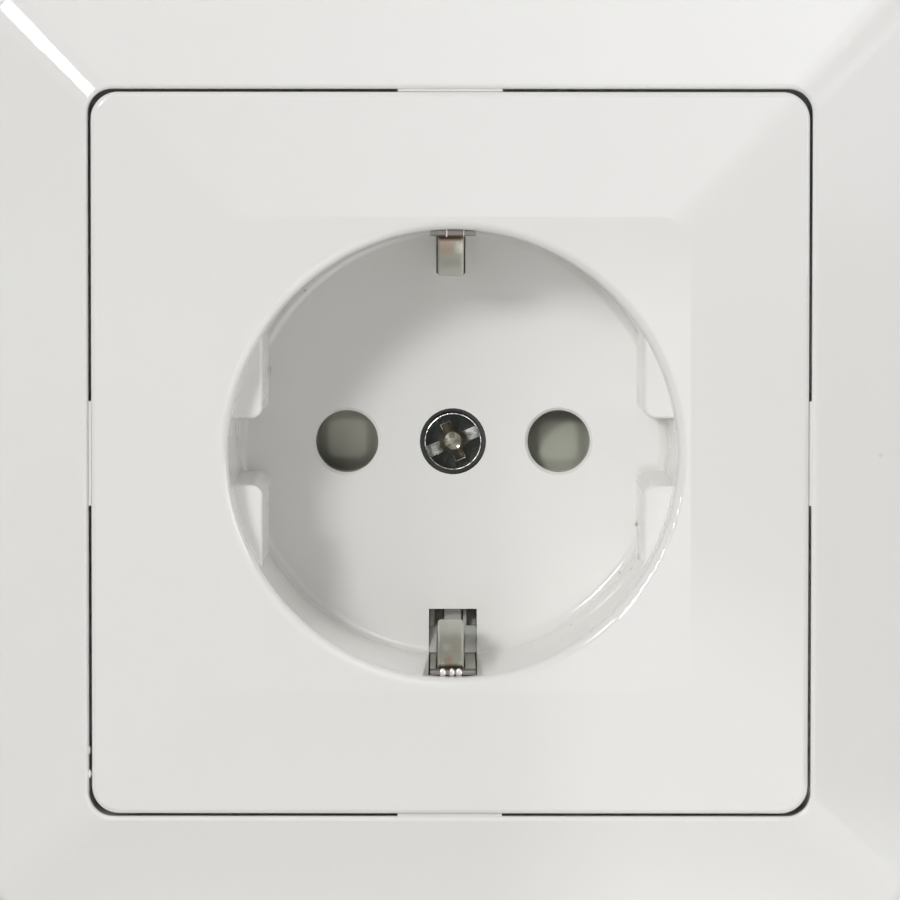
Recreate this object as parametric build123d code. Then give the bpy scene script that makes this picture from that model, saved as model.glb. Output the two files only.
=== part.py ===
from build123d import *
import os
from math import atan, cos, degrees, radians, sin

# A flush wall socket with a round plug well, in millimetres.
# Pieces are drawn as seen from the room: X to the right, Y up, Z out of the wall, with Z = 0 on the
# wall's surface. place() then stands them up, so that the part's own +Y points into the wall and its
# +Z points up.

# Cover frame. It and the plate are slightly taller than wide, and sit slightly left of the well.
FRAME_SIZE = 81.0
TALLER = 0.5
SQUARE_X = -0.26
FRAME_CORNER = 2.6
FRAME_EDGE_HEIGHT = 6.0
FRAME_INNER_HEIGHT = 9.4
FRAME_WALL = 2.0
FRAME_EDGE_ROUND = 1.0
OPENING_SIZE = 63.5
OPENING_CORNER = 2.1
OPENING_ROUND = 0.35
SKIRT_WALL = 1.6
LEDGE_WIDTH = 1.6
LEDGE_THICKNESS = 2.0
LUG_LENGTH = 9.2
LUG_DROP = 0.5
LUG_PLAY = 0.03

# Centre plate and plug well
PLATE_GAP = 0.25
PLATE_CORNER = 2.4
PLATE_EDGE_HEIGHT = 9.5
PLATE_EDGE_ROUND = 0.5
PLATE_WALL = 1.8
RIM_HEIGHT = 10.3
RIM_LAND = 0.3
RIM_LIP = 0.8
WELL_DEPTH = 17.5
WELL_RIM_RADIUS = 19.75
WELL_FLOOR_RADIUS = 19.25
WELL_WALL = 1.5
WELL_CORNER = 0.8
FLOOR_THICKNESS = 2.0
SEGMENT_DROP = 3.5
SEGMENT_CHORD_TOP = 16.8
SEGMENT_CHORD_FLOOR = 16.5
SEGMENT_ROUND = 1.0
SEGMENT_EDGE = 0.3
GROOVE_WIDTH_TOP = 5.9
GROOVE_WIDTH_FLOOR = 5.33
RIB_THICKNESS = 0.9
RIB_DEPTH = 3.0
RIB_ANGLES = (25, 65, 115, 155, 205, 245, 295, 335)

# Plug pins
PIN_SPACING = 19.0
PIN_HOLE_RADIUS = 2.8
PIN_HOLE_CHAMFER = 0.25
PIN_GRIP = 4.4

# Earth clips, part of one stamped bracket
CLIP_SLOT_WIDTH = 4.3
CLIP_SLOT_INNER = 15.1
SLOT_EXTRA = 1.0
CLIP_FRONT_DROP = 2.0
CLIP_FRONT_PLAY = 0.2
CLIP_WIDTH = 4.0
CLIP_OUTER = 19.8
CLIP_THICKNESS = 0.7
CLIP_BRIDGE = 1.0
CLIP_TONGUE_WIDTH = 2.3
CLIP_SLIT = 0.15
CLIP_EDGE = 0.25
UPPER_APEX = 15.4
LOWER_APEX = 15.8
TONGUE_X = -0.2
TONGUE_EDGE = 0.3
CLIP_APEX_DEPTH = 9.0
CLIP_TAIL = 17.7
CLIP_TAIL_DEPTH = 18.6
BEND_RADIUS = 0.6
BUSH_RADIUS = 2.7
BUSH_LENGTH = 2.6

# Centre screw
SCREW_HOLE_RADIUS = 2.975
SCREW_HOLE_DEPTH = 1.2
SCREW_HEAD_RADIUS = 2.6
SCREW_HEAD_HEIGHT = 1.35
SCREW_HEAD_CHAMFER = 0.2
RECESS_EDGE = 0.08
SCREW_SHANK_RADIUS = 1.45
SCREW_PLAY = 0.25
SCREW_REACH = 4.0
SLOT_ANGLE = 22.7
SLOT_WIDTH = 0.9
SLOT_DEPTH = 0.8
CROSS_REACH = 1.8
CROSS_WIDTH = 0.95
CROSS_DEPTH = 1.0
RECESS_RADIUS = 0.8
THREAD_FIT = 0.02

# Shutter and the contact cover that carries it
SHUTTER_ROOM = 3.3
SHUTTER_PLAY = 0.15
SHUTTER_BORE_FIT = 0.05
SHUTTER_HUB_WALL = 2.2
SHUTTER_RADIUS = 13.4
SHUTTER_HALF_ANGLE = 19.5
SHUTTER_TURN = 38.0
SHUTTER_RAMP_LIP = 0.8
PAD_SIZE = 3.6
PAD_CORNER = 1.0
PAD_RISE = 0.3
COVER_THICKNESS = 1.8
COVER_PLAY = 0.2
COVER_BOSS_RADIUS = 4.0
STOP_REACH = 2.5
STOP_WIDTH = 1.6
STOP_PLAY = 0.8
SPRING_WIRE = 0.4
SPRING_PITCH = 0.46
SPRING_TURNS = 1.75
SPRING_LEG = 1.6
SPRING_GROOVE_WIDTH = 1.4
SPRING_GROOVE_DEPTH = 1.3
GUARD_RISE = 0.5
GUARD_STEP = 1.5
GUARD_RIB_WIDTH = 1.5

# Insulating base
CAVITY_RADIUS = 22.0
COLLAR_PLAY = 0.2
FLANGE_RADIUS = 27.6
FLANGE_THICKNESS = 2.2
BASE_RADIUS = 24.6
BASE_REACH = 32.0
BASE_ROUND = 1.2
CLAW_FLAT = 23.4
CLAW_CHANNEL_WIDTH = 13.0
CHAMBER_PLAY = 0.2
LEAF_TRAVEL = 0.8
GROOVE_PLAY = 0.15

# Live and neutral contacts
STRIP_THICKNESS = 0.8
LEAF_WIDTH = 6.0
LEAF_FOOT = 3.0
LEAF_MOUTH = 3.2
LEAF_BEND = 1.2
CONTACT_SEAT = 26.8
GRIP_HEIGHT = 8.2
LEAF_HEIGHT = 11.6
TERMINAL_PAD = 8.8
TERMINAL_X = 8.5
TERMINAL_Y = 12.6
EARTH_TERMINAL_Y = 12.8
EARTH_TAB_Y = 8.0
EARTH_TAB_WIDTH = 5.6

# Terminal screws and clamp plates
TERMINAL_POCKET = 8.0
CLAMP_PLAY = 0.25
CLAMP_THICKNESS = 1.2
WIRE_GAP = 1.8
TERMINAL_HEAD_RADIUS = 2.9
TERMINAL_HEAD_HEIGHT = 1.7
TERMINAL_SHANK_RADIUS = 1.7
TERMINAL_TIP = 1.8
TERMINAL_SLOT = 0.8

# Support ring, rivets and claws
RING_MARGIN = 3.0
RING_CLIP = 11.0
RING_THICKNESS = 1.0
RING_OPENING_RADIUS = 23.6
FIXING_SPACING = 60.0
FIXING_RADIUS = 1.7
FIXING_HEAD_RADIUS = 4.1
FIXING_HEAD_ROOM = 2.2
RIVET_CIRCLE = 26.0
RIVET_RADIUS = 0.9
RIVET_HEAD_RADIUS = 1.3
RIVET_HEAD_HEIGHT = 0.7
RIVET_PLAY = 0.06
RIVET_ANGLES = (45, 135, 225, 315)
CLAW_SCREW_X = 26.3
CLAW_SCREW_RADIUS = 1.35
CLAW_SCREW_REACH = 25.0
CLAW_SCREW_HEAD_RADIUS = 2.7
CLAW_SCREW_HEAD_HEIGHT = 1.8
CLAW_SCREW_PLAY = 0.1
CLAW_PIVOT_DEPTH = 10.0
CLAW_THICKNESS = 1.5
CLAW_WIDTH = 10.0
CLAW_INNER = 24.0
CLAW_OUTER = 29.6
CLAW_LENGTH = 24.5
CLAW_HOLE_PLAY = 0.5
CLAW_BEAD_RADIUS = 1.15
CLAW_TOOTH = 0.8

# Heights worked out from the sizes above
RING_SIZE = FRAME_SIZE - 2 * FRAME_WALL - 2 * RING_MARGIN
SKIRT_OUTER = OPENING_SIZE + 2 * SKIRT_WALL
LEDGE_OPENING = OPENING_SIZE - 2 * LEDGE_WIDTH
LEDGE_TOP = RING_THICKNESS + LEDGE_THICKNESS
PLATE_SIZE = OPENING_SIZE - 2 * PLATE_GAP
FLOOR_FRONT = RIM_HEIGHT - WELL_DEPTH
FLOOR_BACK = FLOOR_FRONT - FLOOR_THICKNESS
WELL_OUTER_RADIUS = WELL_RIM_RADIUS + WELL_WALL
LAND_SIZE = 2 * (WELL_RIM_RADIUS + RIM_LIP + RIM_LAND)
SEGMENT_TOP = RIM_HEIGHT - SEGMENT_DROP
CLIP_FRONT = RIM_HEIGHT - CLIP_FRONT_DROP
CLIP_INNER = CLIP_OUTER - CLIP_THICKNESS
COVER_FRONT = FLOOR_BACK - SHUTTER_ROOM
COVER_BACK = COVER_FRONT - COVER_THICKNESS
COVER_RADIUS = CAVITY_RADIUS - COVER_PLAY
STRAP_BACK = COVER_BACK - CLIP_THICKNESS
COLLAR_RADIUS = RING_OPENING_RADIUS - COLLAR_PLAY
SCREW_SEAT = FLOOR_FRONT - SCREW_HOLE_DEPTH
STOP_INNER = SHUTTER_RADIUS - STOP_REACH
STOP_LEAD = SHUTTER_HALF_ANGLE + degrees(atan(STOP_WIDTH / 2 / STOP_INNER)) + STOP_PLAY
COVER_NOTCH = CLIP_OUTER - CLIP_THICKNESS - BEND_RADIUS - GROOVE_PLAY
PIN_X = PIN_SPACING / 2
STRIP_FRONT = STRIP_THICKNESS - CONTACT_SEAT
CLAMP_FRONT = -CONTACT_SEAT - WIRE_GAP
CLAMP_BACK = CLAMP_FRONT - CLAMP_THICKNESS
TERMINALS = ((-TERMINAL_X, TERMINAL_Y), (TERMINAL_X, TERMINAL_Y), (0, -EARTH_TERMINAL_Y))


def block(x, y, z):
    """A box given by its low and high limits on each axis."""
    size = Box(x[1] - x[0], y[1] - y[0], z[1] - z[0], align=(Align.MIN, Align.MIN, Align.MIN))
    return Pos(x[0], y[0], z[0]) * size


def rod(radius, back, front, x=0.0, y=0.0):
    """A round bar along Z between two heights."""
    bar = Cylinder(radius, front - back, align=(Align.CENTER, Align.CENTER, Align.MIN))
    return Pos(x, y, back) * bar


def rounded_square(size, corner, height):
    """A rounded outline of the frame or the plate at one height, as wide as the size."""
    return Pos(SQUARE_X, 0, height) * RectangleRounded(size, size + TALLER, corner)


def rim_square(height):
    """The level land round the plug well's rim, where the plate's four faces end."""
    return Pos(0, 0, height) * RectangleRounded(LAND_SIZE, LAND_SIZE, PLATE_CORNER)


def square_prism(size, corner, back, front):
    return extrude(rounded_square(size, corner, back), front - back)


def edges_at(part, height):
    """The edges that lie flat at one height."""
    return part.edges().filter_by_position(Axis.Z, height - 0.001, height + 0.001)


def profile_along_x(points, width):
    """A plate whose outline is drawn in (Y, Z), centred on X = 0."""
    outline = make_face(Polyline(*[(0, y, z) for y, z in points], close=True))
    return extrude(outline, width / 2, dir=(1, 0, 0), both=True)


def profile_along_y(points, width):
    """A plate whose outline is drawn in (X, Z), centred on Y = 0."""
    outline = make_face(Polyline(*[(x, 0, z) for x, z in points], close=True))
    return extrude(outline, width / 2, dir=(0, 1, 0), both=True)


def facet_height(half_size):
    """Height of the frame's sloping face at a distance from its centre line."""
    run = (FRAME_SIZE - OPENING_SIZE) / 2
    rise = FRAME_INNER_HEIGHT - FRAME_EDGE_HEIGHT
    return FRAME_EDGE_HEIGHT + rise * (FRAME_SIZE / 2 - half_size) / run


def make_cover_frame():
    """Bevelled square moulding with mitred faces, an inner skirt, a ledge for the plate and four lugs."""
    body = loft(
        [
            rounded_square(FRAME_SIZE, FRAME_CORNER, 0),
            rounded_square(FRAME_SIZE, FRAME_CORNER, FRAME_EDGE_HEIGHT),
            rounded_square(OPENING_SIZE, OPENING_CORNER, FRAME_INNER_HEIGHT),
        ],
        ruled=True,
    )
    body = fillet(edges_at(body, FRAME_EDGE_HEIGHT), FRAME_EDGE_ROUND)
    hollow_size = FRAME_SIZE - 2 * FRAME_WALL
    hollow = loft(
        [
            rounded_square(hollow_size, OPENING_CORNER, 0),
            rounded_square(hollow_size, OPENING_CORNER, facet_height(hollow_size / 2) - FRAME_WALL),
            rounded_square(SKIRT_OUTER, OPENING_CORNER, facet_height(SKIRT_OUTER / 2) - FRAME_WALL),
        ],
        ruled=True,
    )
    skirt = square_prism(SKIRT_OUTER, OPENING_CORNER, RING_THICKNESS, FRAME_INNER_HEIGHT)
    body -= hollow - skirt
    body -= square_prism(OPENING_SIZE, OPENING_CORNER, LEDGE_TOP, FRAME_INNER_HEIGHT)
    body -= square_prism(LEDGE_OPENING, OPENING_CORNER, 0, LEDGE_TOP)
    body = fillet(edges_at(body, FRAME_INNER_HEIGHT), OPENING_ROUND)
    for turn in (0, 90, 180, 270):
        wall = OPENING_SIZE / 2 + (TALLER / 2 if turn in (90, 270) else 0)
        lug = block(
            (wall - PLATE_GAP + LUG_PLAY, wall + OPENING_ROUND),
            (-LUG_LENGTH / 2, LUG_LENGTH / 2),
            (LEDGE_TOP, FRAME_INNER_HEIGHT - LUG_DROP),
        )
        body += Pos(SQUARE_X, 0, 0) * Rot(0, 0, turn) * lug
    claw_room = RING_THICKNESS + CLAW_SCREW_HEAD_HEIGHT + SCREW_PLAY
    for side in (-1, 1):
        body -= rod(FIXING_HEAD_RADIUS, 0, FIXING_HEAD_ROOM, 0, side * FIXING_SPACING / 2)
        body -= rod(CLAW_SCREW_HEAD_RADIUS + SCREW_PLAY, 0, claw_room, side * CLAW_SCREW_X)
    return body


def side_segment(side, half):
    """One corner block beside the plug well's guide groove, with its inner corner rounded."""
    reach = WELL_RIM_RADIUS + WELL_WALL

    def section(chord, groove, height):
        width = reach - chord
        length = reach - groove / 2
        face = Pos(chord + width / 2, groove / 2 + length / 2) * Rectangle(width, length)
        corner = face.vertices().sort_by_distance((chord, groove / 2, 0))[0]
        return Pos(0, 0, height) * fillet(corner, SEGMENT_ROUND)

    wedge = loft(
        [
            section(SEGMENT_CHORD_FLOOR, GROOVE_WIDTH_FLOOR, FLOOR_FRONT),
            section(SEGMENT_CHORD_TOP, GROOVE_WIDTH_TOP, SEGMENT_TOP),
        ],
        ruled=True,
    )
    wedge = fillet(edges_at(wedge, SEGMENT_TOP), SEGMENT_EDGE)
    if side < 0:
        wedge = mirror(wedge, Plane.YZ)
    if half < 0:
        wedge = mirror(wedge, Plane.XZ)
    return wedge


def make_plug_well_void():
    """The room for a plug: a round, slightly tapering well less the four blocks beside its grooves."""
    extra = 1.0
    widening = (WELL_RIM_RADIUS - WELL_FLOOR_RADIUS) / WELL_DEPTH
    mouth_radius = WELL_RIM_RADIUS + widening * extra
    well = Cone(WELL_FLOOR_RADIUS, mouth_radius, WELL_DEPTH + extra, align=(Align.CENTER, Align.CENTER, Align.MIN))
    well = Pos(0, 0, FLOOR_FRONT) * well
    well = fillet(edges_at(well, FLOOR_FRONT), WELL_CORNER)
    for side in (-1, 1):
        for half in (-1, 1):
            well -= side_segment(side, half)
    return well


def make_centre_plate():
    """Square plate with a low pyramid of four faces, its skirt and ribs, and the plug well in one piece."""
    shell = loft(
        [
            rounded_square(PLATE_SIZE, PLATE_CORNER, LEDGE_TOP),
            rounded_square(PLATE_SIZE, PLATE_CORNER, PLATE_EDGE_HEIGHT),
            rim_square(RIM_HEIGHT),
        ],
        ruled=True,
    )
    shell = fillet(edges_at(shell, PLATE_EDGE_HEIGHT), PLATE_EDGE_ROUND)
    hollow_size = PLATE_SIZE - 2 * PLATE_WALL
    hollow = loft(
        [
            rounded_square(hollow_size, PLATE_CORNER, LEDGE_TOP),
            rounded_square(hollow_size, PLATE_CORNER, PLATE_EDGE_HEIGHT - PLATE_WALL),
            rim_square(RIM_HEIGHT - PLATE_WALL),
        ],
        ruled=True,
    )
    ribs = hollow & make_plate_ribs()
    body = shell - hollow
    body += ribs
    body += rod(WELL_OUTER_RADIUS, FLOOR_BACK, RIM_HEIGHT - PLATE_WALL / 2)
    body -= make_plug_well_void()
    rim = edges_at(body, RIM_HEIGHT).filter_by(GeomType.CIRCLE).sort_by(SortBy.RADIUS)[-1]
    body = fillet(rim, RIM_LIP)
    for side in (-1, 1):
        body -= pin_hole(side)
    body -= upper_earth_slot() + lower_earth_slot()
    body -= rod(SCREW_HOLE_RADIUS, SCREW_SEAT, FLOOR_FRONT)
    body -= rod(SCREW_SHANK_RADIUS + SCREW_PLAY, FLOOR_BACK, FLOOR_FRONT)
    return body


def upper_earth_slot():
    """Wide where the clip stands against the wall, and only as wide as its tongue in the floor."""
    half = CLIP_TONGUE_WIDTH / 2 + CLIP_SLIT
    height = (FLOOR_BACK, CLIP_FRONT + CLIP_FRONT_PLAY)
    tongue_part = block((TONGUE_X - half, TONGUE_X + half), (CLIP_SLOT_INNER, CLIP_OUTER), height)
    wall_part = (CLIP_INNER - GROOVE_PLAY, WELL_OUTER_RADIUS + SLOT_EXTRA)
    return tongue_part + block((-CLIP_SLOT_WIDTH / 2, CLIP_SLOT_WIDTH / 2), wall_part, height)


def lower_earth_slot():
    """As wide as the whole clip all the way, so that its legs show beside the tongue."""
    return block(
        (-CLIP_SLOT_WIDTH / 2, CLIP_SLOT_WIDTH / 2),
        (-WELL_OUTER_RADIUS - SLOT_EXTRA, -CLIP_SLOT_INNER),
        (FLOOR_BACK, CLIP_FRONT + CLIP_FRONT_PLAY),
    )


def pin_hole(side):
    """A hole for one plug pin through the well's floor, with a small chamfer at its mouth."""
    mouth = PIN_HOLE_RADIUS + PIN_HOLE_CHAMFER
    flare = Cone(PIN_HOLE_RADIUS, mouth, PIN_HOLE_CHAMFER, align=(Align.CENTER, Align.CENTER, Align.MAX))
    hole = rod(PIN_HOLE_RADIUS, FLOOR_BACK, FLOOR_FRONT) + Pos(0, 0, FLOOR_FRONT) * flare
    return Pos(side * PIN_X, 0, 0) * hole


def make_plate_ribs():
    """Stiffening ribs under the plate, spread round the well like spokes."""
    ribs = Part()
    low = PLATE_EDGE_HEIGHT - PLATE_WALL - RIB_DEPTH
    for angle in RIB_ANGLES:
        rib = block((WELL_OUTER_RADIUS - 0.5, PLATE_SIZE), (-RIB_THICKNESS / 2, RIB_THICKNESS / 2), (low, RIM_HEIGHT))
        ribs += Rot(0, 0, angle) * rib
    return ribs


def make_centre_screw():
    """Cheese-head screw with a straight slot crossed by a short cross recess, all edges broken."""
    top = SCREW_SEAT + SCREW_HEAD_HEIGHT
    head = rod(SCREW_HEAD_RADIUS, SCREW_SEAT, top)
    head = chamfer(edges_at(head, top), SCREW_HEAD_CHAMFER)
    slot = Box(4 * SCREW_HEAD_RADIUS, SLOT_WIDTH, 2 * SLOT_DEPTH)
    cross = Box(CROSS_WIDTH, 2 * CROSS_REACH, 2 * CROSS_DEPTH)
    drive = slot + cross + Cylinder(RECESS_RADIUS, 2 * CROSS_DEPTH)
    head -= Pos(0, 0, top) * Rot(0, 0, SLOT_ANGLE) * drive
    head = chamfer(edges_at(head, top), RECESS_EDGE)
    return head + rod(SCREW_SHANK_RADIUS, STRAP_BACK - SCREW_REACH, SCREW_SEAT)


def clip_arch(apex_radius):
    """The tongue that bulges into the well and presses on the plug's earth strip, its long edges eased."""
    root = CLIP_FRONT - CLIP_BRIDGE / 2
    apex = RIM_HEIGHT - CLIP_APEX_DEPTH
    tail = RIM_HEIGHT - CLIP_TAIL_DEPTH
    inner = ThreePointArc((0, CLIP_INNER, root), (0, apex_radius, apex), (0, CLIP_TAIL, tail))
    outer = ThreePointArc(
        (0, CLIP_OUTER, root), (0, apex_radius + CLIP_THICKNESS, apex), (0, CLIP_TAIL + CLIP_THICKNESS, tail)
    )
    ends = [Line(inner @ 0, outer @ 0), Line(inner @ 1, outer @ 1)]
    outline = make_face(Wire([inner.edge(), outer.edge(), ends[0].edge(), ends[1].edge()]))
    arch = extrude(outline, CLIP_TONGUE_WIDTH / 2, dir=(1, 0, 0), both=True)
    inner_edges = arch.edges().filter_by(GeomType.CIRCLE).sort_by_distance((0, 0, apex))[0:2]
    return Pos(TONGUE_X, 0, 0) * fillet(inner_edges, TONGUE_EDGE)


def make_clip_arm():
    """The upper half of the bracket: strap, bend and the windowed arm that its tongue is cut from."""
    profile = [(0, COVER_BACK), (CLIP_INNER, COVER_BACK), (CLIP_INNER, CLIP_FRONT)]
    profile += [(CLIP_OUTER, CLIP_FRONT), (CLIP_OUTER, STRAP_BACK), (0, STRAP_BACK)]
    arm = profile_along_x(profile, CLIP_WIDTH)
    bend = arm.edges().filter_by(Axis.X)
    arm = fillet(bend.sort_by_distance((0, CLIP_OUTER, STRAP_BACK))[0], BEND_RADIUS + CLIP_THICKNESS)
    arm = fillet(arm.edges().filter_by(Axis.X).sort_by_distance((0, CLIP_INNER, COVER_BACK))[0], BEND_RADIUS)
    arm = fillet(edges_at(arm, CLIP_FRONT).filter_by(Axis.X), CLIP_EDGE)
    half = CLIP_TONGUE_WIDTH / 2 + CLIP_SLIT
    window = (TONGUE_X - half, TONGUE_X + half)
    height = (FLOOR_BACK - SLOT_EXTRA, CLIP_FRONT - CLIP_BRIDGE)
    return arm - block(window, (CLIP_INNER - SLOT_EXTRA, CLIP_OUTER + SLOT_EXTRA), height)


def make_earth_bracket():
    """One stamped strip: a strap across the base, a sprung clip at each end and a tab to its terminal."""
    half = CLIP_WIDTH / 2
    arm = make_clip_arm()
    body = arm + clip_arch(UPPER_APEX) + mirror(arm + clip_arch(LOWER_APEX), Plane.XZ)
    tab_back = -CONTACT_SEAT
    tab = profile_along_x(
        [
            (-EARTH_TAB_Y, STRAP_BACK),
            (-EARTH_TAB_Y, tab_back),
            (-EARTH_TERMINAL_Y, tab_back),
            (-EARTH_TERMINAL_Y, STRIP_FRONT),
            (-EARTH_TAB_Y - STRIP_THICKNESS, STRIP_FRONT),
            (-EARTH_TAB_Y - STRIP_THICKNESS, STRAP_BACK),
        ],
        EARTH_TAB_WIDTH,
    )
    shoulder = block(
        (-EARTH_TAB_WIDTH / 2, EARTH_TAB_WIDTH / 2),
        (-EARTH_TAB_Y - STRIP_THICKNESS, -EARTH_TAB_Y + half),
        (STRAP_BACK, COVER_BACK),
    )
    body += tab + shoulder + terminal_pad(0, -EARTH_TERMINAL_Y)
    body += rod(BUSH_RADIUS, STRAP_BACK - BUSH_LENGTH, COVER_BACK)
    body -= rod(SCREW_SHANK_RADIUS + THREAD_FIT, STRAP_BACK - BUSH_LENGTH, COVER_BACK)
    return body - terminal_thread(0, -EARTH_TERMINAL_Y)


def terminal_pad(x, y):
    """The square end of a contact strip that a terminal screw is threaded into."""
    half = TERMINAL_PAD / 2
    return block((x - half, x + half), (y - half, y + half), (-CONTACT_SEAT, STRIP_FRONT))


def terminal_thread(x, y):
    return rod(TERMINAL_SHANK_RADIUS + THREAD_FIT, -CONTACT_SEAT, STRIP_FRONT, x, y)


def contact_leaf():
    """One spring leaf of a contact: in from its foot to the grip, then out to a wide mouth."""
    foot = STRIP_FRONT
    grip = PIN_GRIP / 2
    inner = [(LEAF_FOOT, foot), (grip, foot + GRIP_HEIGHT), (LEAF_MOUTH, foot + LEAF_HEIGHT)]
    outer = [(y + STRIP_THICKNESS, z) for y, z in reversed(inner)]
    leaf = profile_along_x(inner + outer, LEAF_WIDTH)
    bends = leaf.edges().filter_by(Axis.X).filter_by_position(Axis.Z, foot + STRIP_THICKNESS, foot + LEAF_HEIGHT - 1)
    inner_bend, outer_bend = bends.sort_by(Axis.Y)
    leaf = fillet(inner_bend, LEAF_BEND + STRIP_THICKNESS)
    outer_bend = leaf.edges().filter_by(Axis.X).sort_by_distance((0, grip + STRIP_THICKNESS, foot + GRIP_HEIGHT))[0]
    return fillet(outer_bend, LEAF_BEND)


def make_contact(side):
    """Brass contact of one pole: a strip with its terminal pad and two leaves that grip the pin."""
    x = side * PIN_X
    outer = LEAF_FOOT + STRIP_THICKNESS
    foot = block(
        (x - LEAF_WIDTH / 2, x + LEAF_WIDTH / 2), (-outer, TERMINAL_Y), (-CONTACT_SEAT, STRIP_FRONT)
    )
    leaf = contact_leaf()
    body = foot + Pos(x, 0, 0) * (leaf + mirror(leaf, Plane.XZ))
    body += terminal_pad(side * TERMINAL_X, TERMINAL_Y)
    return body - terminal_thread(side * TERMINAL_X, TERMINAL_Y)


def make_shutter():
    """Turning shutter: a hub ring and two blades whose ramps the plug's pins slide down."""
    front = FLOOR_BACK - SHUTTER_PLAY
    back = COVER_FRONT + SHUTTER_PLAY
    bore = COVER_BOSS_RADIUS + SHUTTER_BORE_FIT
    hub_radius = COVER_BOSS_RADIUS + SHUTTER_HUB_WALL
    blade = Pos(0, 0, back) * extrude(shutter_blade_outline(), front - back)
    ramp = shutter_ramp(front, back)
    pad = Pos(PIN_X, 0, back) * extrude(RectangleRounded(PAD_SIZE, PAD_SIZE, PAD_CORNER), front - back)
    blade -= ramp - pad
    blade -= Pos(0, 0, PAD_RISE) * ramp
    body = rod(hub_radius, back, front) + blade + Rot(0, 0, 180) * blade
    return body - rod(bore, back, front)


def shutter_blade_outline():
    """A sector of a ring, drawn on the right and closed by two straight flanks."""
    half = radians(SHUTTER_HALF_ANGLE)
    tip = (SHUTTER_RADIUS * cos(half), SHUTTER_RADIUS * sin(half))
    root = (COVER_BOSS_RADIUS * cos(half) + SHUTTER_BORE_FIT, COVER_BOSS_RADIUS * sin(half))
    arc = ThreePointArc((tip[0], -tip[1]), (SHUTTER_RADIUS, 0), tip)
    flanks = Polyline(tip, root, (root[0], -root[1]), (tip[0], -tip[1]))
    return make_face(Wire(arc.edges() + flanks.edges()))


def shutter_ramp(front, back):
    """The wedge cut from the right blade's face, deepest on its upper flank."""
    reach = SHUTTER_RADIUS * sin(radians(SHUTTER_HALF_ANGLE))
    deep = back + SHUTTER_RAMP_LIP
    wedge = profile_along_x([(-reach, front), (2 * reach, front + 1), (2 * reach, deep), (reach, deep)], SHUTTER_RADIUS)
    hub_radius = COVER_BOSS_RADIUS + SHUTTER_HUB_WALL
    return Pos(hub_radius + SHUTTER_RADIUS / 2, 0, 0) * wedge


def make_contact_cover():
    """Moulded disc that closes the contact chambers, with the shutter's boss, stops and spring groove."""
    body = rod(COVER_RADIUS, COVER_BACK, COVER_FRONT)
    body += rod(COVER_BOSS_RADIUS, COVER_FRONT, FLOOR_BACK)
    groove = rod(COVER_BOSS_RADIUS + SPRING_GROOVE_WIDTH, COVER_FRONT - SPRING_GROOVE_DEPTH, COVER_FRONT)
    body -= groove - rod(COVER_BOSS_RADIUS, COVER_FRONT - SPRING_GROOVE_DEPTH, COVER_FRONT)
    for side in (-1, 1):
        body -= rod(PIN_HOLE_RADIUS, COVER_BACK, COVER_FRONT, side * PIN_X)
        slot = block(
            (-CLIP_SLOT_WIDTH / 2, CLIP_SLOT_WIDTH / 2), (COVER_NOTCH, CAVITY_RADIUS), (COVER_BACK, COVER_FRONT)
        )
        body -= slot if side > 0 else mirror(slot, Plane.XZ)
    for angle in (STOP_LEAD, -STOP_LEAD - SHUTTER_TURN):
        stop = block(
            (STOP_INNER, SHUTTER_RADIUS + STOP_PLAY), (-STOP_WIDTH / 2, STOP_WIDTH / 2), (COVER_FRONT, FLOOR_BACK)
        )
        body += Rot(0, 0, angle) * stop + Rot(0, 0, angle + 180) * stop
    body += make_guard_pad()
    body -= spring_leg_slot()
    return body - rod(SCREW_SHANK_RADIUS + SCREW_PLAY, COVER_BACK, FLOOR_BACK)


def make_guard_pad():
    """Raised pad under the lower earth slot, with a narrow rib that fills its inner end."""
    half = CLIP_SLOT_WIDTH / 2 - GROOVE_PLAY
    inner = CLIP_SLOT_INNER + GROOVE_PLAY
    height = (COVER_FRONT, FLOOR_BACK + GUARD_RISE)
    pad = block((-half, half), (inner + GUARD_STEP, COVER_NOTCH), height)
    rib = block((-GUARD_RIB_WIDTH / 2, GUARD_RIB_WIDTH / 2), (inner, inner + GUARD_STEP), height)
    return mirror(pad + rib, Plane.XZ)


def spring_radius():
    return COVER_BOSS_RADIUS + SPRING_GROOVE_WIDTH / 2


def spring_leg_slot():
    """Radial slot in the cover that holds the spring's fixed leg."""
    start = spring_radius()
    half = SPRING_WIRE / 2 + SHUTTER_BORE_FIT
    return block(
        (start, start + SPRING_LEG + half), (-half, half), (COVER_FRONT - SPRING_GROOVE_DEPTH, COVER_FRONT)
    )


def make_shutter_spring():
    """Leg spring wound round the boss: its fixed leg lies in the cover, its free leg along the hub."""
    radius = spring_radius()
    wire = SPRING_WIRE / 2
    height = SPRING_PITCH * SPRING_TURNS
    coil = Helix(SPRING_PITCH, height, radius)
    low = COVER_FRONT - SPRING_GROOVE_DEPTH + wire
    start = Plane(origin=coil @ 0, z_dir=coil % 0)
    body = sweep(start * Circle(wire), path=coil, is_frenet=True)
    body += rod_between(coil @ 0, (radius + SPRING_LEG, 0, 0), wire)
    return Pos(0, 0, low) * body


def rod_between(start, end, radius):
    """A round bar from one point to another."""
    line = Line(start, end)
    return extrude(Plane(origin=line @ 0, z_dir=line % 0) * Circle(radius), line.length)


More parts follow.
